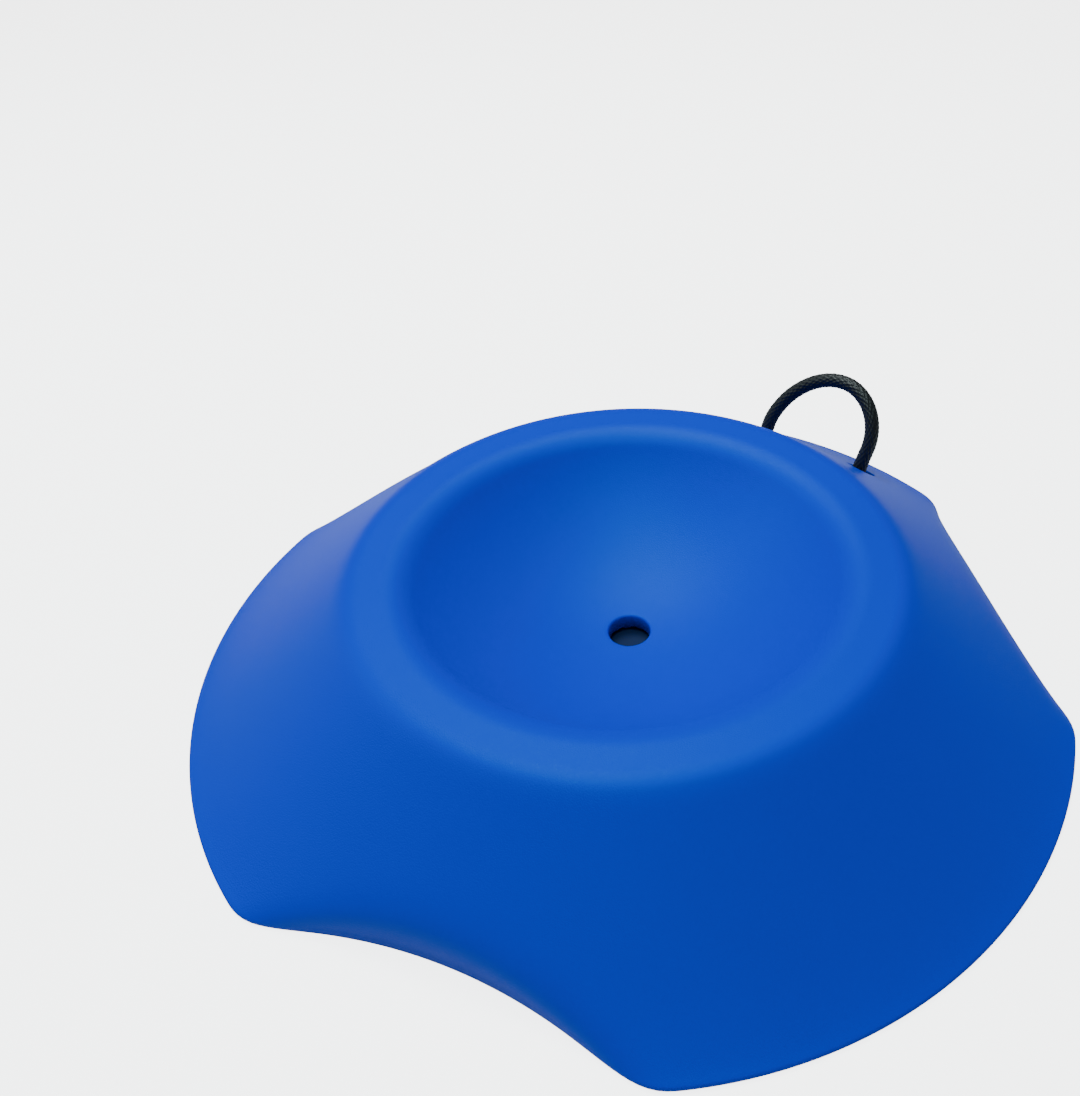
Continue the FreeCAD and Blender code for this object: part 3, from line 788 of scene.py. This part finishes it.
@dataclass
class RopeHandle:
    """One braided rope from knot to knot, up through both holes.

    Attributes:
        place: Where it passes the moulding.
        carriers: Strands that run each way round the braid.
        relief: How far a strand stands proud.
        pitch: Length of one strand crossing along the rope.
        line_step: Distance between the tube's rings.
        knot_squeeze: Thickness of the rope in a pulled knot, as a share of its own.
        bend_below: Where the rope's bend starts, under the holes; not used.
        bend_above: Where the rope's bend ends, over the holes; not used.
    """

    place: RopePlace
    carriers: int = 12
    relief: float = 0.42 * MM
    pitch: float = 1.6 * MM
    line_step: float = 0.35 * MM
    knot_squeeze: float = 0.86
    bend_below: float = 3.0 * MM
    bend_above: float = 8.0 * MM

    # Across towards the right hole, up, and backwards, in the loop's own plane.
    LOOP_ROUTE = (
        (-23.3, 0.0, 0.0),
        (-21.0, 8.6, 0.3),
        (-16.4, 16.6, 0.7),
        (-9.2, 23.4, 1.0),
        (-0.4, 27.4, 0.9),
        (9.2, 27.6, 0.5),
        (17.4, 23.2, 0.0),
        (22.6, 16.0, -0.3),
        (24.4, 8.0, -0.3),
        (23.3, 0.0, 0.0),
    )

    def axes(self) -> tuple[np.ndarray, np.ndarray, np.ndarray, np.ndarray]:
        """The loop's middle point and its directions across, up and backwards."""
        left, right = (self.place.pivot(b) for b in self.place.hole_bearings())
        across = (right - left) / np.linalg.norm(right - left)
        bearing = self.place.bearing
        outward = np.array([math.cos(bearing), math.sin(bearing), 0.0])
        up = np.array([0.0, 0.0, 1.0])
        lean = self.place.loop_lean
        rise = up * math.cos(lean) + outward * math.sin(lean)
        back = outward * math.cos(lean) - up * math.sin(lean)
        return (left + right) / 2, across, rise, back

    def route(self) -> np.ndarray:
        """The rope's route from the left knot to the right knot."""
        middle, across, rise, back = self.axes()
        loop = np.array(self.LOOP_ROUTE) * MM @ np.stack([across, rise, back]) + middle
        left, right = self.place.hole_bearings()
        depth = self.place.knot_drop - math.sqrt(self.place.knot_radius**2 - self.place.rope_radius**2)
        down_left = self.place.pivot(left) + self.place.tail_direction(left) * depth
        down_right = self.place.pivot(right) + self.place.tail_direction(right) * depth
        return np.vstack([down_left, loop, down_right])

    def centreline(self) -> np.ndarray:
        """Points of the smooth line that the route controls, read from a bare curve."""
        curve = bpy.data.curves.new("rope_line", "CURVE")
        curve.dimensions = "3D"
        curve.resolution_u = 24
        spline = curve.splines.new("NURBS")
        route = self.route()
        spline.points.add(len(route) - 1)
        spline.points.foreach_set("co", np.column_stack([route, np.ones(len(route))]).ravel())
        spline.order_u = 3
        spline.use_endpoint_u = True
        carrier = bpy.data.objects.new("rope_line", curve)
        bpy.context.scene.collection.objects.link(carrier)
        mesh = bpy.data.meshes.new_from_object(carrier)
        points = np.zeros(len(mesh.vertices) * 3)
        mesh.vertices.foreach_get("co", points)
        bpy.data.objects.remove(carrier)
        bpy.data.curves.remove(curve)
        bpy.data.meshes.remove(mesh)
        return points.reshape(-1, 3)

    def resampled(self, line: np.ndarray, step: float) -> tuple[np.ndarray, np.ndarray]:
        """The line in even steps, and the distance along it of each point."""
        lengths = np.concatenate([[0], np.cumsum(np.linalg.norm(np.diff(line, axis=0), axis=1))])
        along = np.linspace(0, lengths[-1], int(round(lengths[-1] / step)) + 1)
        return np.stack([np.interp(along, lengths, line[:, k]) for k in range(3)], axis=-1), along

    def braid_height(self, turn: np.ndarray, along: np.ndarray) -> np.ndarray:
        """Relief of a plain braid, from 0 to 1.

        Two families of strands wind opposite ways. u and v count their crossings. Each
        strand is a dome across its width, and rises over every second crossing.

        Args:
            turn: Angle round the rope.
            along: Distance along it.

        Returns:
            The relief.
        """
        round_share = turn * self.carriers / (2 * math.pi)
        along_share = along / (2 * self.pitch)
        first = round_share + along_share
        second = round_share - along_share
        dome_first = np.sqrt(np.clip(1 - (2 * (first % 1) - 1) ** 2, 0, 1))
        dome_second = np.sqrt(np.clip(1 - (2 * (second % 1) - 1) ** 2, 0, 1))
        over_first = 0.5 + 0.5 * np.sin(math.pi * (second + np.floor(first)))
        over_second = 0.5 - 0.5 * np.sin(math.pi * (first + np.floor(second)))
        return np.maximum(dome_first * over_first, dome_second * over_second)

    def tube(self, name: str, line: np.ndarray, along: np.ndarray, normal: np.ndarray, radius: float,
             steps: int = 88) -> bpy.types.Object:
        """A braided tube with closed ends along a line.

        Args:
            name: The piece's name.
            line: Its points in even steps.
            along: Distance of each point.
            normal: A direction nowhere in line with the tube, one for all points or one each.
            radius: Outer radius.
            steps: Points round the tube.

        Returns:
            The new piece.
        """
        tangent = np.gradient(line, axis=0)
        tangent /= np.linalg.norm(tangent, axis=1, keepdims=True)
        side = np.cross(tangent, np.broadcast_to(normal, tangent.shape))
        side /= np.linalg.norm(side, axis=1, keepdims=True)
        other = np.cross(side, tangent)
        turn = np.linspace(0, 2 * math.pi, steps, endpoint=False)[None, :]
        reach = radius - self.relief * (1 - self.braid_height(turn, along[:, None]))
        around = np.cos(turn)[..., None] * side[:, None] + np.sin(turn)[..., None] * other[:, None]
        points = line[:, None] + reach[..., None] * around
        faces = grid_faces(len(line), steps, False, True)
        flat = np.vstack([points.reshape(-1, 3), line[:1], line[-1:]])
        first = np.arange(steps)
        last = (len(line) - 1) * steps + first
        pole = len(flat) - 2
        caps = np.vstack([
            np.column_stack([np.full(steps, pole), first, np.roll(first, -1), np.roll(first, -1)]),
            np.column_stack([np.full(steps, pole + 1), np.roll(last, -1), last, last]),
        ])[:, :3]
        piece = bpy.data.objects.new(name, bpy.data.meshes.new(name))
        piece.data.from_pydata(flat.tolist(), [], faces.tolist() + caps.tolist())
        piece.data.shade_smooth()
        bpy.context.scene.collection.objects.link(piece)
        face_outwards(piece)
        return piece

    def knot(self, name: str, bearing: float) -> bpy.types.Object:
        """A pulled-tight overhand knot, a squeezed trefoil, under one hole.

        With t once round: x = sin t + 2 sin 2t, y = cos t - 2 cos 2t, z = -sin 3t. It reaches
        3 from its middle.

        Args:
            name: The piece's name.
            bearing: The hole's direction.

        Returns:
            The new piece.
        """
        turn = np.linspace(0, 2 * math.pi, 161)
        loop = np.stack([np.sin(turn) + 2 * np.sin(2 * turn), np.cos(turn) - 2 * np.cos(2 * turn),
                         -np.sin(3 * turn)], axis=-1)
        rope = self.place.rope_radius * self.knot_squeeze
        widest = 3.0
        spread = (self.place.knot_radius - rope) / widest
        down = self.place.tail_direction(bearing)
        centre = self.place.pivot(bearing) + down * self.place.knot_drop
        flat = np.array([-math.sin(bearing), math.cos(bearing), 0.0])
        third = np.cross(down, flat)
        line = centre + loop @ np.stack([flat, third, down]) * spread
        even, along = self.resampled(line, self.line_step)
        never_zero = 1e-6
        outward = even - centre + never_zero
        return self.tube(name, even, along, outward, rope, steps=64)

    def build(self) -> list[bpy.types.Object]:
        finish = BraidedCord().make()
        middle, _, rise, back = self.axes()
        line, along = self.resampled(self.centreline(), self.line_step)
        rope = self.tube("rope", line, along, back, self.place.rope_radius)
        left, right = self.place.hole_bearings()
        knots = [self.knot("knot_left_tied", left), self.knot("knot_right_tied", right)]
        for piece, node in zip(knots, ("knot_left", "knot_right")):
            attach(piece, Body.DOCK.value)
            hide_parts(node)
        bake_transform(rope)
        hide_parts("rope_loop", "rope_tail_left", "rope_tail_right")
        for piece in [rope, *knots]:
            piece.data.materials.append(finish)
        return [rope, *knots]


# ---- studio -----------------------------------------------------------------


@dataclass
class Studio:
    """Floor, lights and camera.

    Attributes:
        form: The moulding's formulas, for the painted-shade card under it.
        distance: Camera to the dock's origin.
        azimuth: Turn of the camera about the dock.
        elevation: Height angle of the camera.
        yaw: Small turn away from the origin.
        pitch: Small tilt up from the origin.
        roll: Turn about the line of sight.
        lens: Focal length in millimetres.
        shift: Lens shift across and up.
        cool: Colour of the surround and of the side light.
        surround: Strength of the surround as a light, and as the camera sees it.
    """

    form: DockForm
    distance: float = 353.69 * MM
    azimuth: float = 24.39
    elevation: float = 45.604
    yaw: float = -0.865
    pitch: float = 5.934
    roll: float = 2.949
    lens: float = 31.63
    shift: tuple[float, float] = (-0.0908, -0.0031)
    cool: tuple[float, float, float] = (0.74, 0.92, 1.0)
    surround: tuple[float, float] = (0.12, 4.0)

    def floor(self) -> None:
        """A wide pale floor."""
        half = 4.0
        points = np.array([[-half, -half, 0], [half, -half, 0], [half, half, 0], [-half, half, 0]])
        piece = new_mesh_object("floor", points, np.array([[0, 1, 2, 3]]))
        piece.data.materials.append(StudioFloor().make())

    def painted_shade_card(self) -> None:
        """A sheet of painted shade just over the floor, cut to the skirt's inside, so the holes show shade
        and no lit floor.
        """
        turn = np.linspace(0, 2 * math.pi, 180, endpoint=False)
        reach = self.form.hollow_outline(turn, np.zeros_like(turn))
        rim = np.column_stack([reach * np.cos(turn), reach * np.sin(turn), np.full_like(turn, 0.3 * MM)])
        piece = new_mesh_object("painted_shade_card", rim, np.arange(len(turn))[None, :])
        material, _, shader = start_material("painted_shade_card")
        # Painted shade: this dark navy stands in for the shade inside the hollow under the dock, seen
        # through the drain and rope holes.
        shader.inputs["Base Color"].default_value = (0.0, 0.014, 0.075, 1.0)
        shader.inputs["Roughness"].default_value = 0.9
        piece.data.materials.append(material)

    def area_light(self, name: str, place: tuple[float, float, float], size: float, power: float,
                   colour: tuple[float, float, float]) -> None:
        """A square soft light aimed at the dock.

        Args:
            name: The light's name.
            place: Where it stands.
            size: Length of its side.
            power: Its power in watts.
            colour: Its colour.
        """
        light = bpy.data.lights.new(name, "AREA")
        light.size = size
        light.energy = power
        light.color = colour
        lamp = bpy.data.objects.new(name, light)
        lamp.location = place
        lamp.rotation_euler = (Vector((0, 0, 0.02)) - Vector(place)).to_track_quat("-Z", "Y").to_euler()
        bpy.context.scene.collection.objects.link(lamp)

    def lights(self) -> None:
        """A pale surround, a soft light high behind the dock, and weaker ones to the side and above."""
        world = bpy.data.worlds.new("studio")
        world.use_nodes = True
        background = world.node_tree.nodes["Background"]
        background.inputs["Color"].default_value = (*self.cool, 1.0)
        seen = world.node_tree.nodes.new("ShaderNodeLightPath")
        strength = ranged(world.node_tree, seen.outputs["Is Camera Ray"], *self.surround)
        world.node_tree.links.new(strength, background.inputs["Strength"])
        bpy.context.scene.world = world
        self.area_light("high", place=(-0.30, 0.34, 1.05), size=0.5, power=9.0, colour=(0.90, 1.0, 1.0))
        self.area_light("side", place=(-1.0, -0.2, 0.8), size=0.6, power=3.5, colour=self.cool)
        self.area_light("top", place=(0.0, -0.20, 1.1), size=0.2, power=4.0, colour=(0.70, 1.0, 1.0))

    def camera(self) -> None:
        """The camera on its place about the dock."""
        lift = math.radians(self.elevation)
        start = Vector((0, -math.cos(lift), math.sin(lift))) * self.distance
        ahead = -start.normalized()
        right = Vector((1, 0, 0))
        up = right.cross(ahead)
        turn = Matrix.Rotation(math.radians(self.yaw), 3, up)
        ahead, right = turn @ ahead, turn @ right
        tilt = Matrix.Rotation(math.radians(self.pitch), 3, right)
        ahead, up = tilt @ ahead, tilt @ up
        spin = Matrix.Rotation(math.radians(self.roll), 3, ahead)
        right, up = spin @ right, spin @ up
        facing = Matrix((right, up, -ahead)).transposed().to_4x4()
        about = Matrix.Rotation(math.radians(self.azimuth), 4, "Z")
        data = bpy.data.cameras.new("camera")
        data.lens = self.lens
        data.shift_x, data.shift_y = self.shift
        data.clip_start = 0.01
        camera = bpy.data.objects.new("camera", data)
        camera.matrix_world = about @ Matrix.Translation(start) @ facing
        bpy.context.scene.collection.objects.link(camera)
        bpy.context.scene.camera = camera

    def build(self) -> None:
        """Set up the whole studio."""
        self.floor()
        # A card of painted shade under the dock, seen only through its holes.
        self.painted_shade_card()
        self.lights()
        self.camera()


def main() -> None:
    """Build every sub-assembly and report its pieces."""
    logging.basicConfig(level=logging.INFO, format="%(message)s")
    _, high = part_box("dock_shell")
    form = DockForm(lobe_radius=152.4 * MM, crest_height=high.z)
    place = RopePlace()
    Studio(form).build()
    for sub_assembly in (Moulding(form, place), RopeHandle(place)):
        for piece in sub_assembly.build():
            LOG.info("%s: %d faces", piece.name, len(piece.data.polygons))


if __name__ == "__main__":
    main()
